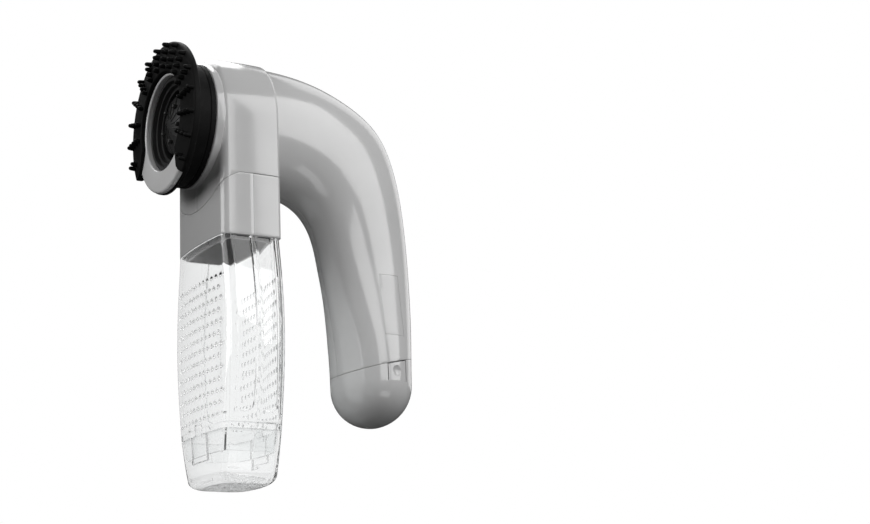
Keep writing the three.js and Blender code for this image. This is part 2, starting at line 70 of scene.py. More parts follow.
HEAD_HALF_X, BIN_HALF_X, SEAM_HALF_X = 30.55, 30.4, 29.6  # half widths of head, bin top and cap seam
FRONT_Y, REAR_Y = -17.2, 16.2  # faces of head, neck and bin, at their corners
CROWN, SIDE_CROWN = 1.6, 0.35  # how far the faces and the sides bow
TAPER, TAPER_SPAN = 0.018, 31.0  # the section narrows by this share over this length towards the nozzle
BULGE = 7.2  # how far the bin's sides swell
VENT_PITCH_X, VENT_PITCH_Z, VENT_SHIFT = 4.85, 5.9, 2.401  # every second row is shifted
GROOVE_FOOT = 34.0  # height of the lower end of the grooves
FOOT_X, FOOT_FRONT, FOOT_REAR = 18.0, -12.6, 13.6  # flat foot of the bin cap
TONGUE_ROOT, TONGUE_FRONT_Y, TONGUE_REAR_Y = 12.0, -15.8, 14.8  # hinge lines of its latches

NOZZLE_Z = float(tube_low[2] + tube_high[2]) / 2
RING_FRONT = float(tube_low[1])
RIM_FRONT = -21.5  # face of the head's round rim
RIM, COLLAR, RING, FLANGE = 34.0, 33.3, 37.6, 43.4  # outer radii of head rim, collar, hard ring and flange
MOUTH, THROAT = 25.6, 19.0  # inner radii of ring and funnel
DIP = 47.0  # radius of the arc by which the neck's seam passes round the nozzle
CUT_TURN = math.radians(-12.5)  # how far the opening in the rubber is turned from straight down

SEAM_Z, SEAM_SLOPE, SEAM_Y = 66.9, 0.237, 83.2  # a point of the battery cap's seam and its slope
CAP_BOTTOM = 35.0
LATCH_X, LATCH_Y, LATCH_HALF, LATCH_ROOT = 22.8, 86.0, 5.6, 57.0  # its latches: hinge line and half width
DIMPLE_Z = 62.4  # their thumb dimples
JACK_Y, JACK_Z, JACK_RADIUS = 67.5, 76.2, 3.1  # hole of the charging socket, on the -X side
SWITCH_Y, SWITCH_Z, SWITCH_TILT = 94.4, 191.6, math.radians(-64)

FAR = 300.0  # reach of the blocks that cut a shape in two


# ---------------------------------------------------------------- mesh helpers
def new_object(name, points, faces):
    """A mesh object from points in millimetres, without doubles and with its faces turned outwards."""
    mesh = bpy.data.meshes.new(name)
    mesh.from_pydata([tuple(float(c) * MM for c in p) for p in points], [], faces)
    obj = bpy.data.objects.new(name, mesh)
    bpy.context.scene.collection.objects.link(obj)
    build = bmesh.new()
    build.from_mesh(mesh)
    bmesh.ops.remove_doubles(build, verts=build.verts, dist=2e-6)
    bmesh.ops.dissolve_degenerate(build, edges=build.edges, dist=1e-7)
    bmesh.ops.recalc_face_normals(build, faces=build.faces)
    if build.calc_volume(signed=True) < 0:
        bmesh.ops.reverse_faces(build, faces=build.faces)
    build.to_mesh(mesh)
    build.free()
    return obj


def loft(name, rings):
    """A closed surface through rings of points, all with the same number of points."""
    rings = [np.asarray(ring, float) for ring in rings]
    count = len(rings[0])
    faces = []
    for k in range(len(rings) - 1):
        for i in range(count):
            a, b = k * count + i, k * count + (i + 1) % count
            faces.append((a, b, b + count, a + count))
    faces.append(tuple(reversed(range(count))))
    faces.append(tuple(range((len(rings) - 1) * count, len(rings) * count)))
    return new_object(name, np.concatenate(rings), faces)


def lathe(name, profile, steps):
    """A body of revolution round the nozzle's axis, from (radius, y) pairs that end on the axis or close."""
    turns = np.linspace(0, 2 * math.pi, steps, endpoint=False)
    rings = [[(r * math.cos(t), y, NOZZLE_Z + r * math.sin(t)) for r, y in profile] for t in turns]
    count = len(profile)
    faces = []
    for k in range(steps):
        for i in range(count - 1):
            a, b = k * count + i, ((k + 1) % steps) * count + i
            faces.append((a, a + 1, b + 1, b))
    return new_object(name, np.concatenate(rings), faces)


def arc(centre, radius, start, end, steps=6):
    """Points along a circular arc, in degrees."""
    turns = np.radians(np.linspace(start, end, steps + 1))
    return [(centre[0] + radius * math.cos(t), centre[1] + radius * math.sin(t)) for t in turns]


def block(name, x, y, z):
    corners = [(a, b, c) for a in x for b in y for c in z]
    faces = [(0, 1, 3, 2), (4, 6, 7, 5), (0, 4, 5, 1), (2, 3, 7, 6), (0, 2, 6, 4), (1, 5, 7, 3)]
    return new_object(name, corners, faces)


def rod(name, start, end, radii, sides=24):
    """A round bar from start to end through (distance, radius) pairs along it."""
    start, end = Vector(start), Vector(end)
    along = (end - start).normalized()
    turn = along.to_track_quat("Z", "Y").to_matrix()
    turns = np.linspace(0, 2 * math.pi, sides, endpoint=False)
    circle = [Vector((math.cos(t), math.sin(t), 0)) for t in turns]
    rings = []
    for distance, radius in radii:
        middle = start + along * distance
        rings.append([middle + turn @ (radius * point) for point in circle])
    return loft(name, rings)


def merged(name, objs):
    """One object that holds the meshes of several that don't touch."""
    build = bmesh.new()
    for obj in objs:
        build.from_mesh(obj.data)
        bpy.data.objects.remove(obj)
    mesh = bpy.data.meshes.new(name)
    build.to_mesh(mesh)
    build.free()
    result = bpy.data.objects.new(name, mesh)
    bpy.context.scene.collection.objects.link(result)
    return result


def apply_modifiers(obj):
    graph = bpy.context.evaluated_depsgraph_get()
    mesh = bpy.data.meshes.new_from_object(obj.evaluated_get(graph), depsgraph=graph)
    obj.modifiers.clear()
    obj.data = mesh
    return obj


def boolean(target, tool, operation):
    modifier = target.modifiers.new("boolean", "BOOLEAN")
    modifier.solver = "MANIFOLD"
    modifier.operation = operation
    modifier.object = tool
    apply_modifiers(target)
    bpy.data.objects.remove(tool)
    return target


def cut(target, *tools):
    for tool in tools:
        boolean(target, tool, "DIFFERENCE")
    return target


def join(target, *others):
    for other in others:
        boolean(target, other, "UNION")
    return target


def common(target, tool):
    return boolean(target, tool, "INTERSECT")


def copy_of(obj, name):
    twin = bpy.data.objects.new(name, obj.data.copy())
    bpy.context.scene.collection.objects.link(twin)
    return twin


def soften(obj, width):
    """Rounds every edge sharper than 38 degrees by width."""
    modifier = obj.modifiers.new("edges", "BEVEL")
    modifier.width = width * MM
    modifier.segments = 2
    modifier.limit_method = "ANGLE"
    modifier.angle_limit = math.radians(38)
    modifier.use_clamp_overlap = True
    modifier.miter_outer = "MITER_ARC"
    return apply_modifiers(obj)


def done(obj, name, material, body, slot, *nodes, angle=32):
    """Names a finished piece, gives it its material and body, and hides the CAD nodes it stands for."""
    obj.data.shade_smooth()
    obj.data.set_sharp_from_angle(angle=math.radians(angle))
    obj.name = obj.data.name = name
    obj.data.materials.clear()
    obj.data.materials.append(material)
    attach(obj, body)
    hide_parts(*nodes)


# ---------------------------------------------------------------- curves
def spline(values, steps):
    """Natural cubic spline through rows of values, evenly spaced by chord length."""
    values = np.asarray(values, float)
    lengths = np.linalg.norm(np.diff(values, axis=0), axis=1)
    knots = np.concatenate([[0], np.cumsum(lengths)])
    size = len(values)
    matrix, right = np.zeros((size, size)), np.zeros_like(values)
    matrix[0, 0] = matrix[-1, -1] = 1
    for i in range(1, size - 1):
        before, after = lengths[i - 1], lengths[i]
        matrix[i, i - 1 : i + 2] = before, 2 * (before + after), after
        right[i] = 6 * ((values[i + 1] - values[i]) / after - (values[i] - values[i - 1]) / before)
    bend = np.linalg.solve(matrix, right)
    at = np.linspace(0, knots[-1], steps + 1)
    i = np.clip(np.searchsorted(knots, at, side="right") - 1, 0, size - 2)
    h = lengths[i][:, None]
    a = (knots[i + 1][:, None] - at[:, None]) / h
    b = 1 - a
    curve = a * values[i] + b * values[i + 1]
    return curve + ((a**3 - a) * bend[i] + (b**3 - b) * bend[i + 1]) * h**2 / 6


def half_section(half_x, inset=0.0, corners=(5.0, 2.6), taper=TAPER):
    """Half of a horizontal section, from the middle of the back round the +X side to the front's middle."""
    front, rear = (max(corner - inset, 1.0) for corner in corners)
    half_x = half_x - inset

    def face(corner, y, outward):
        """Half of a bowed face, with the round corner at its end."""
        slope = math.atan(2 * CROWN / (half_x - corner))
        reach = half_x - corner * (1 - math.sin(slope))
        row = [(x, y + outward * CROWN * (1 - (x / reach) ** 2)) for x in np.linspace(0, reach, 13)]
        middle = (reach - corner * math.sin(slope), y - outward * corner * math.cos(slope))
        bend = arc(middle, corner, 90 - math.degrees(slope), 0, 8)
        return row[:-1] + [(x, middle[1] + outward * (v - middle[1])) for x, v in bend]

    back = face(rear, REAR_Y - inset, 1)
    ahead = face(front, FRONT_Y + inset, -1)
    start, end = back[-1], ahead[-1]
    side = []
    for s in np.linspace(0, 1, 11)[1:-1]:
        bow = SIDE_CROWN * (1 - (2 * s - 1) ** 2)
        side.append((start[0] + (end[0] - start[0]) * s + bow, start[1] + (end[1] - start[1]) * s))
    section = np.array(back + side + ahead[::-1])
    section[:, 0] *= 1 + taper * section[:, 1] / TAPER_SPAN
    return section


def full_ring(section, z):
    """The closed ring of a half section and its mirror image, at height z."""
    right = [(x, y, z) for x, y in section]
    left = [(-x, y, z) for x, y in section[-2:0:-1]]
    return right + left


def column(name, heights, inset=0.0):
    """The neck's section, straight up through the given heights."""
    return loft(name, [full_ring(half_section(HEAD_HALF_X, inset), z) for z in heights])


# ---------------------------------------------------------------- head, handle and their cuts
def arched_block(name, inset=0.0):
    """The head: a section that rises straight to the nozzle's height, then turns over an elliptical top."""
    section = half_section(HEAD_HALF_X, inset)
    bottom = NECK_TOP - 20
    rise = (HEAD_TOP - NOZZLE_Z - inset) / section[:, 0].max()
    sweep = [[(x, y, z) for x, y in section] for z in np.linspace(bottom, NOZZLE_Z, 16)]
    for t in np.linspace(0, math.pi, 73)[1:-1]:
        sweep.append([(x * math.cos(t), y, NOZZLE_Z + x * rise * math.sin(t)) for x, y in section])
    sweep += [[(-x, y, z) for x, y in section] for z in np.linspace(NOZZLE_Z, bottom, 16)]
    count = len(section)
    faces = []
    for k in range(len(sweep) - 1):
        for i in range(count - 1):
            a, b = k * count + i, (k + 1) * count + i
            faces.append((a, a + 1, b + 1, b))
    last = (len(sweep) - 1) * count
    for i in range(count - 1):
        faces.append((i, i + 1, last + i + 1, last + i))
    return new_object(name, np.concatenate(sweep), faces)


def above_seam(lift):
    """Everything above the neck seam: level at the sides and back, an arc round the nozzle in front."""
    dip = DIP - lift
    region = block("above", (-60, 60), (-60, 160), (NECK_TOP + lift, 300))
    dish = [(0, -60), (dip, -60), (dip, -16), (dip - 0.3, -14), (dip - 0.9, -12), (dip - 1.6, -10.2)]
    dish += [(dip - 2.05, -8.6), (dip - 2.3, -7), (dip - 2.42, -5.2), (dip - 12, -4), (0, -4)]
    return join(region, lathe("dish", dish, 160))


HANDLE = [  # outer y, outer z, inner y, inner z, half width
    (8, 228.6, 8, 160.6, 26.5),
    (18, 228.6, 18, 160.2, 26.3),
    (44, 225.6, 33, 157.2, 24.6),
    (69, 216.8, 43, 151.2, 22.6),
    (89, 202.5, 49, 142.5, 20.8),
    (99.8, 180, 52.4, 132, 19.4),
    (104.6, 154, 54.4, 121, 18.6),
    (106.3, 130, 56.4, 111, 18.8),
    (106.4, 108, 58.6, 99, 20.6),
    (105.3, 86, 61, 82, 23.6),
    (104, 68, 62.5, 66, 25),
    (103.6, 57, 62.8, 57, 25.1),
]


def handle_rings(inset, steps=110, sides=80, start=0.0):
    """Rings down the handle, from the given share of its length on."""
    rings = []
    stations = spline(HANDLE, steps)
    for outer_y, outer_z, inner_y, inner_z, half_x in stations[int(start * steps):]:
        middle = np.array((0, (outer_y + inner_y) / 2, (outer_z + inner_z) / 2))
        across = np.array((0, (outer_y - inner_y) / 2, (outer_z - inner_z) / 2))
        across *= 1 - inset / np.linalg.norm(across)
        rings.append(oval(middle, (half_x - inset, 0, 0), across, sides))
    return rings


def oval(middle, side, across, sides):
    """A ring a little squarer than an ellipse."""
    power = 2.12
    ring = []
    for t in np.linspace(0, 2 * math.pi, sides, endpoint=False):
        c, s = math.cos(t), math.sin(t)
        u = math.copysign(abs(c) ** (2 / power), c)
        v = math.copysign(abs(s) ** (2 / power), s)
        ring.append(np.asarray(middle) + np.asarray(side) * u + np.asarray(across) * v)
    return ring


def above_cap_seam(lift):
    """Everything above the battery cap's sloping seam."""
    corners = [(-60, -60), (60, -60), (60, 140), (-60, 140)]
    seam = [(x, y, SEAM_Z + SEAM_SLOPE * (y - SEAM_Y) + lift) for x, y in corners]
    return loft("above_cap", [seam, [(x, y, 320) for x, y in corners]])


def on_bend(obj):
    """Moves a shape built flat at the origin to the switch's seat on the back of the bend."""
    move = Matrix.Translation((0, SWITCH_Y * MM, SWITCH_Z * MM))
    obj.data.transform(move @ Matrix.Rotation(SWITCH_TILT, 4, "X"))
    return obj


def housing():
    """The left and the right half: head, round rim and handle, hollow, with their openings."""
    body = arched_block("housing")
    rim = [(0, RIM_FRONT)]
    rim += arc((RIM - 1.0, RIM_FRONT + 1.0), 1.0, -90, 0) + arc((RIM - 0.8, RIM_FRONT + 3.9), 0.8, 0, 90)
    rim += [(RIM - 4, RIM_FRONT + 5.6), (RIM - 6, -10), (0, -10)]
    join(body, lathe("rim", rim, 192))
    common(body, above_seam(GAP))
    grip = common(loft("grip", handle_rings(0)), above_cap_seam(GAP))
    join(body, grip)
    inner = arched_block("inner", WALL)
    spigot_bore = lathe("bore", [(0, -40), (26.5, -40), (26.5, -8), (0, -8)], 96)
    cavity = loft("cavity", handle_rings(WALL, 40, 40))
    wide = JACK_RADIUS + 0.9
    steps = [(0, wide), (23.0, wide), (24.0, JACK_RADIUS), (31, JACK_RADIUS)]
    jack = rod("jack", (-40, JACK_Y, JACK_Z), (-9, JACK_Y, JACK_Z), steps, 48)
    cut(body, inner, cavity, spigot_bore, jack)
    seat = on_bend(block("seat", (-6.1, 6.1), (-11.5, 11.5), (-1, 12)))
    slot = on_bend(block("slot", (-3.1, 3.1), (-6.6, 6.6), (-12, 12)))
    cut(body, seat, slot)
    right = copy_of(body, "right")
    common(right, block("half", (GAP / 2, FAR), (-FAR, FAR), (-FAR, FAR)))
    common(body, block("half", (-FAR, -GAP / 2), (-FAR, FAR), (-FAR, FAR)))
    return soften(body, 0.18), cut(soften(right, 0.18), label_block("window", 0.1, 1.1))


def label_block(name, slack, depth):
    """The blank label's outline on the +X side of the handle, from the air down to `depth` under the skin."""
    window = block(name, (5, 60), (80 - slack, 92 + slack), (82 - slack, 116 + slack))
    return cut(window, loft("skin", handle_rings(depth)))


# ---------------------------------------------------------------- materials
def new_material(name):
    """A material with the parts of its node tree, and the object coordinates that its patterns use."""
    material = bpy.data.materials.new(name)
    material.use_nodes = True
    nodes, links = material.node_tree.nodes, material.node_tree.links
    shader = nodes["Principled BSDF"]
    where = nodes.new("ShaderNodeTexCoord").outputs["Object"]
    return material, nodes, links, shader, where


def noise(nodes, links, where, size, detail=3.0, roughness=0.5):
    """Noise whose features are about `size` metres across."""
    node = nodes.new("ShaderNodeTexNoise")
    node.inputs["Scale"].default_value = 1 / size
    node.inputs["Detail"].default_value = detail
    node.inputs["Roughness"].default_value = roughness
    links.new(where, node.inputs["Vector"])
    return node.outputs["Fac"]


def spread(nodes, links, value, low_value, high_value, span=(0.35, 0.65)):
    """A value within span, carried over to the range from low_value to high_value."""
    node = nodes.new("ShaderNodeMapRange")
    links.new(value, node.inputs["Value"])
    for key, number in zip(("From Min", "From Max", "To Min", "To Max"), (*span, low_value, high_value)):
        node.inputs[key].default_value = number
    return node.outputs["Result"]


def maths(nodes, links, operation, *values):
    node = nodes.new("ShaderNodeMath")
    node.operation = operation
    for socket, value in zip(node.inputs, values):
        if isinstance(value, (int, float)):
            socket.default_value = value
        else:
            links.new(value, socket)
    return node.outputs[0]


def split(nodes, links, vector, axis):
    node = nodes.new("ShaderNodeSeparateXYZ")
    links.new(vector, node.inputs[0])
    return node.outputs[axis]


def tint(nodes, links, value, dark, light):
    """A colour between dark and light, by a 0 to 1 value."""
    node = nodes.new("ShaderNodeMix")
    node.data_type = "RGBA"
    links.new(value, node.inputs["Factor"])
    node.inputs["A"].default_value = (*dark, 1)
    node.inputs["B"].default_value = (*light, 1)
    return node.outputs["Result"]


def bump(nodes, links, shader, value, height):
    """Relief of `height` metres from a 0 to 1 value."""
    node = nodes.new("ShaderNodeBump")
    node.inputs["Distance"].default_value = height
    node.inputs["Strength"].default_value = 1.0
    links.new(value, node.inputs["Height"])
    links.new(node.outputs["Normal"], shader.inputs["Normal"])


def moulded(name, grey, roughness, wave=2e-5, variation=0.03, coat=0.0):
    """Glossy injection-moulded plastic: faint flow marks, uneven gloss and a barely wavy surface."""
    material, nodes, links, shader, where = new_material(name)
    flow = noise(nodes, links, where, 0.045, 4)
    dark = tuple(c * (1 - variation) for c in grey)
    light = tuple(min(c * (1 + variation), 1) for c in grey)
    links.new(tint(nodes, links, spread(nodes, links, flow, 0, 1), dark, light), shader.inputs["Base Color"])
    handled = noise(nodes, links, where, 0.012, 5, 0.6)
    gloss = spread(nodes, links, handled, roughness * 0.85, roughness * 1.2)
    links.new(gloss, shader.inputs["Roughness"])
    bump(nodes, links, shader, noise(nodes, links, where, 0.006, 2), wave)
    shader.inputs["IOR"].default_value = 1.52
    shader.inputs["Coat Weight"].default_value = coat
    shader.inputs["Coat Roughness"].default_value = 0.06
    return material


def rubber(name, grey, roughness):
    """Soft matt rubber with a fine moulded grain and dusty patches."""
    material, nodes, links, shader, where = new_material(name)
    dust = noise(nodes, links, where, 0.009, 6, 0.65)
    patches = spread(nodes, links, dust, 0, 1, (0.45, 0.8))
    links.new(tint(nodes, links, patches, (grey,) * 3, (grey * 2.2,) * 3), shader.inputs["Base Color"])
    links.new(spread(nodes, links, dust, roughness * 0.85, roughness * 1.15), shader.inputs["Roughness"])
    bump(nodes, links, shader, noise(nodes, links, where, 0.0005, 2), 1.2e-5)
    shader.inputs["Specular IOR Level"].default_value = 0.1
    return material


def clear(name):
    """Clear moulded plastic.  Lamps pass through it, so what is inside stays lit."""
    material, nodes, links, shader, where = new_material(name)
    flow = noise(nodes, links, where, 0.02, 3)
    links.new(tint(nodes, links, flow, (0.93, 0.94, 0.94), (0.99, 0.99, 0.99)), shader.inputs["Base Color"])
    scuffs = noise(nodes, links, where, 0.004, 5, 0.7)
    links.new(spread(nodes, links, scuffs, 0.015, 0.05), shader.inputs["Roughness"])
    shader.inputs["Transmission Weight"].default_value = 1.0
    shader.inputs["IOR"].default_value = 1.49
    bump(nodes, links, shader, noise(nodes, links, where, 0.011, 2), 2.5e-5)
    open_shader = nodes.new("ShaderNodeBsdfTransparent")
    open_shader.inputs["Color"].default_value = (0.96, 0.965, 0.965, 1)
    lamp_ray = nodes.new("ShaderNodeLightPath").outputs["Is Shadow Ray"]
    mix = nodes.new("ShaderNodeMixShader")
    links.new(lamp_ray, mix.inputs[0])
    links.new(shader.outputs[0], mix.inputs[1])
    links.new(open_shader.outputs[0], mix.inputs[2])
    links.new(mix.outputs[0], nodes["Material Output"].inputs["Surface"])
    return material


def metal(name, colour, roughness):
    """Plated metal with fine drawn lines."""
    material, nodes, links, shader, where = new_material(name)
    stretch = nodes.new("ShaderNodeMapping")
    stretch.inputs["Scale"].default_value = (1, 0.06, 1)
    links.new(where, stretch.inputs["Vector"])
    lines = noise(nodes, links, stretch.outputs["Vector"], 0.0006, 3)
    light = tuple(min(c * 1.08, 1) for c in colour)
    links.new(tint(nodes, links, lines, tuple(c * 0.85 for c in colour), light), shader.inputs["Base Color"])
    links.new(spread(nodes, links, lines, roughness * 0.8, roughness * 1.25), shader.inputs["Roughness"])
    bump(nodes, links, shader, lines, 4e-6)
    shader.inputs["Metallic"].default_value = 1.0
    return material


SHELL = moulded("shell_grey", (0.50, 0.50, 0.50), 0.16, coat=0.3)
# The hard ring's own grey is close to the shell's. Its lighter base colour adds painted light, standing in
# for the light that falls on the ring's unshadowed front.
RING_GREY_PAINTED_LIGHT = moulded("ring_grey_painted_light", (0.66, 0.66, 0.66), 0.2, coat=0.2)
LABEL = moulded("label_grey", (0.49, 0.49, 0.49), 0.2, wave=1e-5, coat=0.2)
RUBBER = rubber("nozzle_rubber", 0.003, 0.6)
MOUTH_BLACK = moulded("mouth_black", (0.016, 0.016, 0.016), 0.42, variation=0.15)
DARK = moulded("inner_black", (0.006, 0.006, 0.0065), 0.32, variation=0.15)
CLEAR = clear("clear_bin")
STEEL = metal("plated_steel", (0.62, 0.61, 0.6), 0.3)
BRASS = metal("brass", (0.72, 0.55, 0.3), 0.32)
SLEEVE = moulded("cell_sleeve", (0.08, 0.17, 0.12), 0.3, variation=0.1)
RED_PVC = moulded("red_lead", (0.35, 0.03, 0.025), 0.4, variation=0.1)


# ---------------------------------------------------------------- pieces of the head
def make_housing():
    left, right = housing()
    done(left, "housing_shell_left", SHELL, "body", "shell", "housing_left")
    done(right, "housing_shell_right", SHELL, "body", "shell", "housing_right")
    plate = common(label_block("plate", 0, 0.8), loft("skin", handle_rings(0.05)))
    done(soften(plate, 0.06), "label_inset", LABEL, "body", "label", "label_plate")


def make_neck():
    """The sleeve between head and bin, parted into a front and a rear half."""
    body = column("neck", np.linspace(BIN_TOP + GAP, 175, 30))
    cut(body, above_seam(-GAP), column("neck_inner", (120, 180), inset=WALL))
    rear = copy_of(body, "neck_back")
    halves = ((body, (-FAR, -GAP / 3), "neck_shell_front", "neck_front"),
              (rear, (GAP / 3, FAR), "neck_shell_rear", "neck_rear"))
    for piece, y, name, node in halves:
        common(piece, block("half", (-FAR, FAR), y, (0, FAR)))
        done(soften(piece, 0.35), name, SHELL, "body", "shell", node)


def make_duct():
    """The black outlet, a thin skirt with a flange that rests inside the neck."""
    body = column("duct", (DUCT_LIP, 144), inset=4.3)
    join(body, column("duct_flange", (127.2, 129.2), inset=WALL + 0.3))
    cut(body, column("duct_hole", (100, 160), inset=5.9))
    done(soften(body, 0.5), "outlet_duct_skirt", DARK, "body", "inner_black", "outlet_duct")


def make_ring():
    """The hard grey ring and the tube behind it that plugs into the head's rim."""
    front = RING_FRONT
    profile = arc((MOUTH + 1.0, front + 1.0), 1.0, 180, 270, 5)
    profile += arc((RING - 1.5, front + 1.5), 1.5, -90, 0, 6)
    profile += [(RING, front + 3), (30, front + 3.4), (30, RIM_FRONT - 0.3), (26.2, RIM_FRONT - 0.3)]
    profile += [(26.2, -14.8), (24.5, -14.8), (24.5, -31), (MOUTH, -32.8), profile[0]]
    ring = lathe("ring", profile, 192)
    done(ring, "nozzle_ring", RING_GREY_PAINTED_LIGHT, "nozzle", "nozzle_ring", "nozzle_tube", angle=28)


def make_funnel():
    """The stepped black cone between the hard ring and the impeller."""
    back, lip = -28.2, -34.8
    steps = 3
    wide, deep = (MOUTH - 0.6 - THROAT) / steps, (lip - back) / steps
    profile = [(24.2, -25), (THROAT + 1.6, -25), (THROAT, -26.6)]
    for k in range(steps):
        radius, y = THROAT + wide * k, back + deep * k
        profile += [(radius, y + deep), (radius + wide, y + deep + 0.25)]
    profile += [(MOUTH - 0.2, lip + 0.5), (MOUTH - 0.2, -32.9), (24.2, -31.2), (24.2, -25)]
    body = soften(lathe("funnel", profile, 160), 0.15)
    done(body, "nozzle_funnel_cone", MOUTH_BLACK, "nozzle", "inner_black", "nozzle_funnel")


def make_rubber():
    """The flange with its opening, the collar behind it, and rows of studs that stop short of the opening."""
    front = RING_FRONT
    back = front + 3.7
    profile = [(MOUTH + 0.9, front - 0.25)]
    profile += arc((MOUTH + 2.4, front - 1.3), 0.9, 200, 280, 5)
    profile += [(FLANGE - 7, front - 1.6), (FLANGE - 2.2, front - 0.9)]
    profile += arc((FLANGE - 1.1, front + 0.2), 1.1, -75, 0, 5)
    profile += arc((FLANGE - 1.1, front + 1.9), 1.1, 0, 70, 5)
    profile += [(FLANGE - 5, front + 4.6), (COLLAR + 1.2, front + 5.6)]
    profile += arc((COLLAR + 1.2, front + 6.8), 1.2, 260, 180, 4)
    profile += [(COLLAR, RIM_FRONT - 3.6), (COLLAR - 0.35, RIM_FRONT - 3.3), (COLLAR - 0.35, RIM_FRONT - 2.9)]
    profile += [(COLLAR, RIM_FRONT - 2.6), (COLLAR, RIM_FRONT - 0.25), (30.3, RIM_FRONT - 0.25), (30.3, back)]
    profile += [(RING + 0.25, back), (RING + 0.25, front - 0.25), (MOUTH + 0.9, front - 0.25)]
    body = lathe("rubber", profile, 192)
    cut(body, cut_out("opening", front + 2.9))
    beyond = [(RING + 0.5, -70), (90, -70), (90, -20), (RING + 0.5, -20), (RING + 0.5, -70)]
    cut(body, common(cut_out("opening", front + 7), lathe("beyond", beyond, 192)))
    soften(body, 0.25)
    nubs = []
    rows, pitch = 15, 17.4
    shape = [(0, 1.45), (1.2, 1.35), (3.2, 1.15), (3.8, 1.0), (4.2, 0.72), (4.4, 0.35)]
    for row in range(rows):
        turn = pitch * (row - (rows - 1) / 2)
        for radius in (30.0, 33.9, 37.8, 41.7):
            edge = 114 + (radius - 27) * 1.2
            if abs(turn) > edge - 3:
                continue
            at = math.radians(turn) - CUT_TURN
            x, z = radius * math.sin(at), NOZZLE_Z + radius * math.cos(at)
            base = front - 0.6 + max(0.0, radius - 37) * 0.12
            nubs.append(rod("nub", (x, base, z), (x, base - 5, z), shape, 16))
    join(body, merged("nubs", nubs))
    done(body, "grooming_flange", RUBBER, "nozzle", "rubber", "grooming_rubber")


def cut_out(name, back_y):
    """The opening at the foot of the rubber that bares the hard ring; its sides spread downwards."""
    side = [(20.5, 4), (22.4, -8), (23.1, -11), (23.6, -15.5), (24.3, -19), (25.2, -22.3), (26.2, -25.2)]
    side += [(28, -27), (31, -28.3), (50, -33), (50, -60)]
    outline = side + [(-x, z) for x, z in reversed(side)]
    rings = []
    for y in (back_y, back_y - 20):
        ring = []
        for x, z in outline:
            turned = complex(x, z) * complex(math.cos(CUT_TURN), math.sin(CUT_TURN))
            ring.append((turned.real, y, NOZZLE_Z + turned.imag))
        rings.append(ring)
    return loft(name, rings)


def dome(radius):
    """How far forward the impeller's face stands at a radius."""
    return -34.6 + 4.3 * (radius / 16) ** 1.7


def spiral_ridge(turn):
    """A thin curved rib on the impeller's face."""
    rings = []
    for s in np.linspace(0.18, 0.95, 16):
        at, radius = turn + 0.9 * s, 16 * s
        c, n = math.cos(at), math.sin(at)
        rings.append([(radius * c - w * n, dome(radius) - h, NOZZLE_Z + radius * n + w * c)
                      for w, h in ((-0.3, -0.6), (0.3, -0.6), (0.14, 0.45), (-0.14, 0.45))])
    return loft("ridge", rings)


def make_impeller():
    """The domed wheel in the mouth: ribs and five pegs in front, a disc with blades behind."""
    face = [(r, dome(r)) for r in np.linspace(0, 15.4, 12)]
    face += [(15.8, -29.9), (16, -29.5), (16, -27.8), (7, -26.6), (5, -4), (23.5, -3.4), (23.5, -1.8)]
    hub = lathe("hub", face + [(4.8, -1.8), (4.8, -0.2), (0, -0.2)], 96)
    for k in range(12):
        join(hub, spiral_ridge(k / 12 * 2 * math.pi))
    posts = []
    shape = [(0, 1.35), (2.6, 1.25), (3.9, 1.1), (4.3, 0.8), (4.5, 0.4)]
    for k in range(5):
        turn = (k + 0.75) / 5 * 2 * math.pi
        x, z = 9.8 * math.cos(turn), NOZZLE_Z + 9.8 * math.sin(turn)
        posts.append(rod("post", (x, -30.5, z), (x, -40, z), shape, 20))
    join(hub, merged("posts", posts))
    for k in range(8):
        blade = block("blade", (-6.5, 9.9), (-14.6, -2.6), (-0.65, 0.65))
        turn = Matrix.Rotation(0.35, 4, "Y")
        out = Matrix.Translation((13.4 * MM, 0, 0))
        around = Matrix.Rotation(k / 8 * 2 * math.pi, 4, "Y")
        blade.data.transform(Matrix.Translation((0, 0, NOZZLE_Z * MM)) @ around @ out @ turn)
        join(hub, blade)
    cut(hub, rod("hole", (0, -26, NOZZLE_Z), (0, 6, NOZZLE_Z), [(0, 1.1), (32, 1.1)]))
    done(soften(hub, 0.15), "impeller_wheel", MOUTH_BLACK, "rotor", "inner_black", "impeller")


# ---------------------------------------------------------------- the clear bin
def bin_width(z):
    """The share of the bin's height below z, its swell there (0 to 1) and its half width."""
    rise = min(max((z - CAP_SEAM) / (BIN_TOP - CAP_SEAM), 0), 1)
    swell = math.sin(math.pi * rise)
    return rise, swell, SEAM_HALF_X + (BIN_HALF_X - SEAM_HALF_X) * rise + BULGE * swell


def bin_ring(inset, z):
    rise, swell, half_x = bin_width(z)
    corner = 5.5 + 2.5 * swell
    return full_ring(half_section(half_x, inset, (corner, corner), taper=TAPER * rise), z)


def bin_column(name, inset, z0, z1, steps):
    return loft(name, [bin_ring(inset, z) for z in np.linspace(z0, z1, steps + 1)])


def cap_ring(inset, z, half_x, front, rear, corner):
    """A ring of the bin cap: the bin's section without taper, squeezed between front and rear."""
    section = half_section(half_x, inset, (corner, corner), taper=0)
    front, rear = front + inset, rear - inset
    start, end = FRONT_Y + inset, REAR_Y - inset
    section[:, 1] = front + (section[:, 1] - start) * (rear - front) / (end - start)
    return full_ring(section, z)


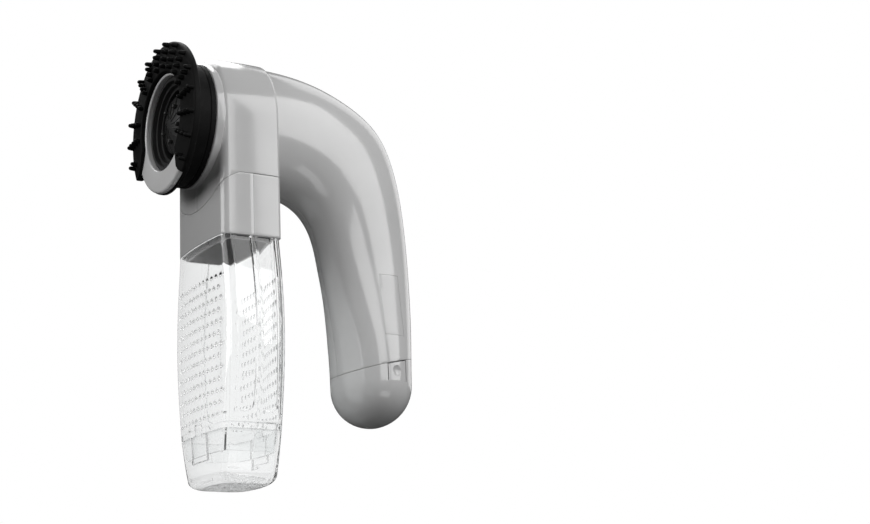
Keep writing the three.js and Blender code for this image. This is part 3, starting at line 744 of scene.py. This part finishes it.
def cap_column(name, inset, floor, top):
    """The end cap: walls that taper down to a foot with a large round edge."""
    rings = []
    foot = 5.2
    shoulder = FOOT_X + foot
    for t in np.linspace(0, math.pi / 2, 9):
        out, up = math.sin(t), 1 - math.cos(t)
        front, rear = FOOT_FRONT - 3.5 * out, FOOT_REAR + 2.3 * out
        rings.append(cap_ring(inset, floor + foot * up, FOOT_X + foot * out, front, rear, 11 - 6.9 * out))
    for s in np.linspace(0, 1, 14)[1:]:
        z = floor + foot + (CAP_SEAM - floor - foot) * s
        half_x = shoulder + (SEAM_HALF_X - shoulder) * s**0.92
        rings.append(cap_ring(inset, z, half_x, -16.1 - 1.1 * s**0.8, 15.9 + 0.3 * s, 4.1 + 1.4 * s))
    rings.append(cap_ring(inset, top, SEAM_HALF_X, FRONT_Y, REAR_Y, 5.5))
    return loft(name, rings)


def groove(side, y0, y1):
    """A tool for the shallow round-ended channel down one side wall of the bin."""
    middle, half = (y0 + y1) / 2, (y1 - y0) / 2
    rings = []
    round_end = GROOVE_FOOT + half - half * np.cos(np.linspace(0.15, math.pi / 2, 9))
    for z in [*round_end, *np.linspace(42, 130, 40)]:
        drop = max(0.0, GROOVE_FOOT + half - z)
        reach = math.sqrt(max(half**2 - drop**2, 0.02))
        wall_x = bin_width(z)[2]
        inner, outer = side * (wall_x - 1.05), side * (wall_x + 0.6)
        rings.append([(inner, middle - reach + 0.5, z), (inner, middle + reach - 0.5, z),
                      (outer, middle + reach + 0.1, z), (outer, middle - reach - 0.1, z)])
    return loft("groove", rings)


def vent_tools(side):
    """Staggered rows of small round vents, as one tool for the front (-1) or the back (1) wall."""
    tools = []
    shape = [(0, 1.75), (0.45, 1.3), (0.65, 0.95), (0.85, 0.6), (4.2, 0.5)]
    for row in range(13):
        z = 104.5 - VENT_PITCH_Z * row
        for k in range(12):
            x = -26.5 + VENT_PITCH_X * k + (VENT_SHIFT if row % 2 else 0)
            if abs(x) > 27.5:
                continue
            face = CROWN * (1 - (x / 27.0) ** 2)
            y = (REAR_Y + face) if side > 0 else (FRONT_Y - face)
            tools.append(rod("vent", (x, y + side * 0.45, z), (x, y - side * 4, z), shape, 16))
    return merged("vents", tools)


def make_bin():
    """The clear box: grooves, vents and latch notches, a lip inside the cap, a weld line down the middle."""
    body = bin_column("bin", 0, CAP_SEAM + GAP, BIN_TOP - GAP, 64)
    zone = block("zone", (-60, 60), (-60, 60), (15.6, CAP_SEAM + 3.8))
    join(body, common(cap_column("lip", CLEAR_WALL + 0.3, CLEAR_WALL, 34), zone))
    cut(body, bin_column("inside", CLEAR_WALL, CAP_SEAM + 3.5, BIN_TOP + 4, 48))
    cut(body, cap_column("lip_inside", CLEAR_WALL + 1.9, 2, 34))
    for side in (-1, 1):
        cut(body, groove(side, -12.8, -1.7), groove(side, 1.7, 11.8))
    notch = block("notch", (-4.7, 4.7), (-60, 60), (CAP_SEAM - 2, 31.8))
    cut(notch, bin_column("behind", CLEAR_WALL + 0.2, 20, 40, 12))
    cut(body, notch, vent_tools(-1), vent_tools(1))
    rear = copy_of(body, "back")
    common(body, block("half", (-FAR, FAR), (-FAR, -GAP / 3), (-10, FAR)))
    common(rear, block("half", (-FAR, FAR), (GAP / 3, FAR), (-10, FAR)))
    done(soften(body, 0.2), "bin_shell_front", CLEAR, "bin", "clear", "bin_front")
    done(soften(rear, 0.2), "bin_shell_rear", CLEAR, "bin", "clear", "bin_rear")


def tab_zone(side, slack):
    """The window in the cap's front (-1) or back (1) wall that a latch tongue fills."""
    y = (-40, -12.5) if side < 0 else (11.4, 40)
    return block("tab", (-9 - slack, 9 + slack), y, (TONGUE_ROOT - slack / 8, CAP_SEAM + 8))


def hinge_relief(pivot, x, y, axis, angle):
    """A sloping tool that takes off the edge of a latch's root that would press into its cap when tilted."""
    tool = block("relief", x, y, (-5, 0.02))
    tool.data.transform(Matrix.Rotation(math.radians(angle), 4, axis))
    tool.data.transform(Matrix.Translation(Vector(pivot) * MM))
    return tool


def drain_tools():
    """Rows of small holes all over the foot, as one tool."""
    drains = []
    for row in range(-6, 7):
        for k in range(-8, 9):
            x, y = 2.4 * k + (1.2 if row % 2 else 0), 2.1 * row + 0.5
            if (x / 19) ** 2 + ((y - 0.5) / 13) ** 2 < 1:
                drains.append(rod("drain", (x, y, -1), (x, y, 6), [(0, 0.55), (7, 0.55)], 10))
    return merged("drains", drains)


def make_bin_cap():
    """The end cap with its drain holes, and the two tongues whose fingers reach up into the bin's notches."""
    zone = block("zone", (-60, 60), (-60, 60), (-5, CAP_SEAM - GAP))
    whole = common(cap_column("cap", 0, 0, 34), zone)
    cut(whole, cap_column("cap_inside", CLEAR_WALL, CLEAR_WALL, 34))
    body = cut(copy_of(whole, "body"), tab_zone(-1, 0.4), tab_zone(1, 0.4), drain_tools())
    done(soften(body, 0.1), "bin_end_cap", CLEAR, "bin_cap", "clear", "bin_cap")
    latches = ((-1, "bin_latch_front", TONGUE_FRONT_Y, (-6, 0)),
               (1, "bin_latch_rear", TONGUE_REAR_Y, (0, 6)))
    for side, name, hinge_y, outwards in latches:
        tongue = common(copy_of(whole, "tongue"), tab_zone(side, 0))
        finger = bin_column("finger", 0, CAP_SEAM - 2, 31, 12)
        cut(finger, bin_column("inside", CLEAR_WALL, 20, 40, 12))
        y = (-40, 0) if side < 0 else (0, 40)
        common(finger, block("zone", (-4.2, 4.2), y, (CAP_SEAM - 2.5, 31)))
        join(tongue, finger)
        cut(tongue, hinge_relief((0, hinge_y, TONGUE_ROOT), (-12, 12), outwards, "X", 9 * side))
        done(soften(tongue, 0.1), name + "_tongue", CLEAR, name, "clear", name)
    bpy.data.objects.remove(whole)


# ---------------------------------------------------------------- the battery cap
def cap_dome_rings(inset, sides=80):
    """Rings down the last of the handle and round the dome that closes it."""
    rings = handle_rings(inset, 110, sides, 0.86)
    outer_y, foot_z, inner_y, _, half_x = HANDLE[-1]
    half_x, half_y = half_x - inset, (outer_y - inner_y) / 2 - inset
    depth = foot_z - CAP_BOTTOM - inset
    for t in np.linspace(0, math.pi / 2, 16)[1:-1]:
        middle = np.array((0, SEAM_Y, foot_z - depth * math.sin(t)))
        rings.append(oval(middle, (half_x * math.cos(t), 0, 0), (0, half_y * math.cos(t), 0), sides))
    return rings


def latch_zone(side, slack, bottom):
    """The upright strip of the cap's side wall that a latch tab fills."""
    x = (-40, -14) if side < 0 else (14, 40)
    return block("latch", x, (LATCH_Y - LATCH_HALF - slack, LATCH_Y + LATCH_HALF + slack), (bottom, 90))


def latch_dimple(side):
    """A ball that leaves a shallow thumb dimple in a latch."""
    ball = 5.2
    bottom_x = 24.0
    start, end = (side * (bottom_x + ball + 1), LATCH_Y, DIMPLE_Z), (side * 10, LATCH_Y, DIMPLE_Z)
    turns = np.radians(np.linspace(0, 84, 12))
    return rod("dimple", start, end, [(1 + ball * math.sin(t), ball * math.cos(t)) for t in turns], 32)


def make_battery_cap():
    """The cap and its two latches.  A latch grows out of the cap, so its root's line has no soft edge."""
    whole = cut(loft("cap", cap_dome_rings(0)), above_cap_seam(-GAP))
    spigot = cut(loft("spigot", handle_rings(WALL + 0.3, 60, 60, 0.86)), above_cap_seam(4.5))
    join(whole, spigot)
    cut(whole, loft("hollow", cap_dome_rings(WALL + 1.9, 48)))
    for side in (-1, 1):
        slits = cut(latch_zone(side, 0.55, LATCH_ROOT), latch_zone(side, 0, 40))
        top = common(above_cap_seam(-0.6), latch_zone(side, 0.2, 40))
        cut(top, loft("inside", cap_dome_rings(WALL + 0.3)))
        cut(whole, slits, top, latch_dimple(side))
    soften(whole, 0.2)
    body = cut(copy_of(whole, "body"), latch_zone(-1, 0.3, LATCH_ROOT), latch_zone(1, 0.3, LATCH_ROOT))
    done(body, "battery_end_cap", SHELL, "battery_cap", "shell", "battery_cap")
    for side, name in ((-1, "battery_latch_left"), (1, "battery_latch_right")):
        tongue = common(copy_of(whole, "tongue"), latch_zone(side, 0.3, LATCH_ROOT + 0.03))
        inwards = (0, 12) if side < 0 else (-12, 0)
        relief = hinge_relief((LATCH_X * side, LATCH_Y, LATCH_ROOT), inwards, (-12, 12), "Y", 7 * side)
        done(cut(tongue, above_cap_seam(2.5), relief), name + "_tab", SHELL, name, "shell", name)
    bpy.data.objects.remove(whole)


def make_switch():
    """The slider: a plate with four grip ridges and a stem, 3 mm back from the middle of its seat."""
    knob = block("plate", (-5.2, 5.2), (-5, 5), (-0.7, 0.6))
    join(knob, block("stem", (-2.6, 2.6), (-2.2, 2.2), (-4.8, -0.4)))
    for y in (-3, -1, 1, 3):
        join(knob, block("ridge", (-4.2, 4.2), (y - 0.35, y + 0.35), (0.3, 1.1)))
    knob.data.transform(Matrix.Translation((0, -3 * MM, 0)))
    done(soften(on_bend(knob), 0.2), "switch_slider", DARK, "switch", "inner_black", "switch_knob")


# ---------------------------------------------------------------- carried-over nodes
def paint_nodes():
    """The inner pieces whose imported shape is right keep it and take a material."""
    looks = {
        STEEL: ("motor_can", "motor_shaft", "motor_screw_1", "motor_screw_2"),
        DARK: ("motor_plate", "motor_end_bell", "switch_body", "charging_socket", "lead_to_motor"),
        BRASS: ("shaft_bush_front", "shaft_bush_rear", "contact_plate_upper", "contact_plate_lower"),
        SLEEVE: ("cell_1", "cell_2", "cell_3", "cell_4"),
        RED_PVC: ("lead_to_switch",),
    }
    for material, names in looks.items():
        for name in names:
            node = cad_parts[name]
            node.data.materials.clear()
            node.data.materials.append(material)


# ---------------------------------------------------------------- camera, light and floor
def make_camera():
    """Low on the +X side and a little in front, looking up, with the object left of the picture's middle."""
    camera = bpy.data.objects.new("camera", bpy.data.cameras.new("camera"))
    bpy.context.scene.collection.objects.link(camera)
    camera.location = Vector((770.8, -354.1, -106.2)) * MM
    ahead, right = Vector((-0.869, 0.426, 0.252)).normalized(), Vector((0.436, 0.900, -0.018))
    right = (right - ahead * right.dot(ahead)).normalized()
    up = right.cross(ahead)
    turn = Matrix((right, up, -ahead)).transposed().to_4x4()
    camera.matrix_world = Matrix.Translation(camera.location) @ turn
    camera.data.sensor_width = 36
    camera.data.lens = 68.58
    camera.data.shift_x = 0.1897
    camera.data.shift_y = 0.0092
    camera.data.clip_start = 0.01
    camera.data.clip_end = 50
    bpy.context.scene.camera = camera


def softbox(name, azimuth, elevation, size, radiance):
    """A rectangular lamp that faces the object from a direction given in degrees."""
    distance = 1.1
    turn, rise = math.radians(azimuth), math.radians(elevation)
    away = Vector((math.cos(rise) * math.cos(turn), math.cos(rise) * math.sin(turn), math.sin(rise)))
    data = bpy.data.lights.new(name, "AREA")
    data.shape = "RECTANGLE"
    data.size, data.size_y = size
    data.energy = radiance * math.pi * size[0] * size[1]
    lamp = bpy.data.objects.new(name, data)
    bpy.context.scene.collection.objects.link(lamp)
    lamp.location = Vector((0, 0.03, 0.13)) + away * distance
    lamp.rotation_euler = (-away).to_track_quat("-Z", "Y").to_euler()
    lamp.visible_camera = False
    lamp.visible_transmission = False


def make_floor():
    """A pale floor, seen only from above: the camera looks up at the object from below the floor's level."""
    floor = block("floor", (-4000, 4000), (-4000, 4000), (-12, -0.2))
    material, nodes, links, shader, where = new_material("pale_floor")
    grain = noise(nodes, links, where, 0.08, 4)
    links.new(tint(nodes, links, grain, (0.09, 0.09, 0.09), (0.10, 0.10, 0.10)), shader.inputs["Base Color"])
    shader.inputs["Roughness"].default_value = 0.6
    shader.inputs["Specular IOR Level"].default_value = 0.0
    links.new(tint(nodes, links, grain, (0.99, 0.99, 0.99), (1, 1, 1)), shader.inputs["Emission Color"])
    shader.inputs["Emission Strength"].default_value = 0.76
    path = nodes.new("ShaderNodeLightPath")
    seen = maths(nodes, links, "MAXIMUM", path.outputs["Is Camera Ray"], path.outputs["Is Transmission Ray"])
    point = nodes.new("ShaderNodeNewGeometry").outputs
    above = maths(nodes, links, "GREATER_THAN", split(nodes, links, point["Position"], "Z"), -0.005)
    opaque = maths(nodes, links, "MULTIPLY", seen, above)
    below = maths(nodes, links, "SUBTRACT", 1.0, opaque)
    hidden = maths(nodes, links, "MAXIMUM", point["Backfacing"], below)
    mix = nodes.new("ShaderNodeMixShader")
    links.new(hidden, mix.inputs[0])
    links.new(shader.outputs[0], mix.inputs[1])
    links.new(nodes.new("ShaderNodeBsdfTransparent").outputs[0], mix.inputs[2])
    links.new(mix.outputs[0], nodes["Material Output"].inputs["Surface"])
    floor.data.materials.append(material)


def make_studio():
    """Six lamps in a room that is white to the camera, also through the clear bin, but lights little."""
    softbox("softbox_key", 39, 25, (0.63, 0.90), 3.7)
    softbox("softbox_key_near", 1, 25, (0.51, 0.90), 3.3)
    softbox("softbox_front", -90, 18, (0.90, 0.60), 3.9)
    softbox("softbox_back", 112, 32, (0.60, 1.25), 1.2)
    softbox("softbox_low", 8, -35, (0.60, 0.30), 1.6)
    softbox("softbox_far_side", 180, 57, (0.80, 0.80), 3.8)
    world = bpy.data.worlds.new("studio")
    bpy.context.scene.world = world
    world.use_nodes = True
    nodes, links = world.node_tree.nodes, world.node_tree.links
    white = nodes["Background"]
    white.inputs["Color"].default_value = (1, 1, 1, 1)
    white.inputs["Strength"].default_value = 1.0
    room = nodes.new("ShaderNodeBackground")
    room.inputs["Strength"].default_value = 0.07
    path = nodes.new("ShaderNodeLightPath")
    bounced = maths(nodes, links, "SUBTRACT", 1.0, path.outputs["Is Camera Ray"])
    outside = maths(nodes, links, "LESS_THAN", path.outputs["Transmission Depth"], 0.5)
    diffused = maths(nodes, links, "GREATER_THAN", path.outputs["Diffuse Depth"], 0.5)
    lighting = maths(nodes, links, "MAXIMUM", outside, diffused)
    mix = nodes.new("ShaderNodeMixShader")
    links.new(maths(nodes, links, "MULTIPLY", bounced, lighting), mix.inputs[0])
    links.new(white.outputs[0], mix.inputs[1])
    links.new(room.outputs[0], mix.inputs[2])
    links.new(mix.outputs[0], nodes["World Output"].inputs["Surface"])
    scene = bpy.context.scene
    scene.view_settings.view_transform = "Standard"
    scene.cycles.max_bounces = scene.cycles.transmission_bounces = 24
    scene.cycles.glossy_bounces = scene.cycles.transparent_max_bounces = 16


make_housing()
make_neck()
make_duct()
make_ring()
make_funnel()
make_rubber()
make_impeller()
make_bin()
make_bin_cap()
make_battery_cap()
make_switch()
paint_nodes()
make_camera()
make_floor()
make_studio()
